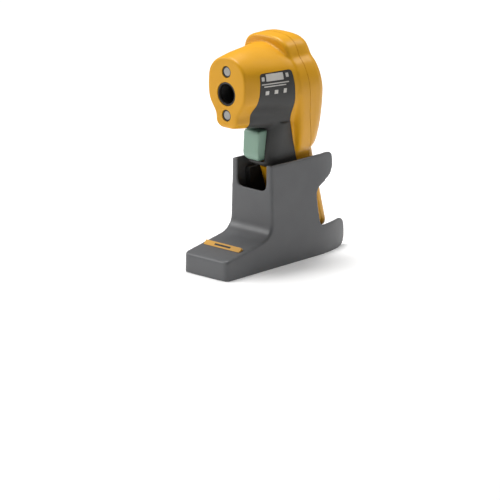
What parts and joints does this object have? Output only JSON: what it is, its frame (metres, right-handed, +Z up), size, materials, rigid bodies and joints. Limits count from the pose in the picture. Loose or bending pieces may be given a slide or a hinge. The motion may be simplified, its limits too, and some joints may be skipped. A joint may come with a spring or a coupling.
{
  "type": "infrared thermometer with tripod holder",
  "caption": "Pistol-grip infrared thermometer with a deep lens aperture, trigger and rear display, seated in a grey holder with a tripod socket.",
  "frame": {"origin": "centre of the overall box at the face that the holder stands on", "axes": "+Z up, the nose faces -Y, +X is across the object"},
  "size_m": [0.073, 0.156, 0.195],
  "materials": {
    "holder_plastic": "fine moulded texture, satin",
    "badge_plastic": "smooth satin",
    "black_rubber": "matte",
    "yellow_plastic": "fine spark texture, semi-gloss",
    "grip_rubber": "soft-touch matte",
    "black_plastic": "matte",
    "lens_glass": "dark coated",
    "window_glass": "clear, polished",
    "display_glass": "clear, polished",
    "lcd_glass": "reflective display",
    "circuit_board": "solder mask",
    "plated_steel": "bright plated",
    "brass_insert": "machined",
    "battery_can": "sleeved can",
    "trigger_plastic": "smooth satin",
    "button_rubber": "matte"
  },
  "bodies": {
    "holder": {"holder_shell": "holder_plastic", "holder_base": "holder_plastic", "tripod_bush": "brass_insert", "badge_plate": "badge_plastic", "cradle_left": "black_rubber", "cradle_right": "black_rubber", "base_screw_1": "plated_steel", "base_screw_2": "plated_steel", "base_screw_3": "plated_steel", "base_screw_4": "plated_steel"},
    "trigger": {"trigger": "trigger_plastic"},
    "battery_door": {"battery_door": "yellow_plastic"},
    "button_left": {"button_left": "button_rubber"},
    "button_middle": {"button_middle": "button_rubber"},
    "button_right": {"button_right": "button_rubber"},
    "thermometer": {"front_shell": "yellow_plastic", "rear_cover": "yellow_plastic", "grip_overmould": "grip_rubber", "aperture_ring": "black_plastic", "lens_tube": "black_plastic", "lens_retaining_ring": "black_plastic", "infrared_lens": "lens_glass", "thermopile_sensor": "plated_steel", "sensor_board": "circuit_board", "laser_window": "window_glass", "laser_module": "brass_insert", "torch_window": "window_glass", "torch_reflector": "plated_steel", "torch_led": "window_glass", "display_window": "display_glass", "display_bezel": "black_plastic", "lcd_module": "lcd_glass", "main_board": "circuit_board", "switch_left": "black_plastic", "switch_middle": "black_plastic", "switch_right": "black_plastic", "beeper": "black_plastic", "trigger_spring": "plated_steel", "trigger_switch": "black_plastic", "trigger_bracket": "black_plastic", "battery_cell": "battery_can", "battery_tray": "black_plastic", "battery_spring_contact": "plated_steel", "battery_plate_contact": "plated_steel", "housing_screw_1": "plated_steel", "housing_screw_2": "plated_steel", "housing_screw_3": "plated_steel", "housing_screw_4": "plated_steel"}
  },
  "joints": [
    {"name": "thermometer_lift", "type": "slide", "parent": "holder", "child": "thermometer", "axis": [0, -0.2571, 0.9664], "range_m": [0, 0.09]},
    {"name": "trigger_pull", "type": "slide", "parent": "thermometer", "child": "trigger", "axis": [0, 1, 0], "range_m": [0, 0.0045], "stiffness_N_per_m": 500, "springref_m": -0.004, "deforming": ["trigger_spring"]},
    {"name": "battery_door_slide", "type": "slide", "parent": "thermometer", "child": "battery_door", "axis": [0, 0.3211, -0.9471], "range_m": [0, 0.01]},
    {"name": "button_left_press", "type": "slide", "parent": "thermometer", "child": "button_left", "axis": [0, -0.9874, -0.158], "range_m": [0, 0.0008], "stiffness_N_per_m": 900, "springref_m": -0.0008},
    {"name": "button_middle_press", "type": "slide", "parent": "thermometer", "child": "button_middle", "axis": [0, -0.9874, -0.158], "range_m": [0, 0.0008], "stiffness_N_per_m": 900, "springref_m": -0.0008},
    {"name": "button_right_press", "type": "slide", "parent": "thermometer", "child": "button_right", "axis": [0, -0.9874, -0.158], "range_m": [0, 0.0008], "stiffness_N_per_m": 900, "springref_m": -0.0008}
  ]
}
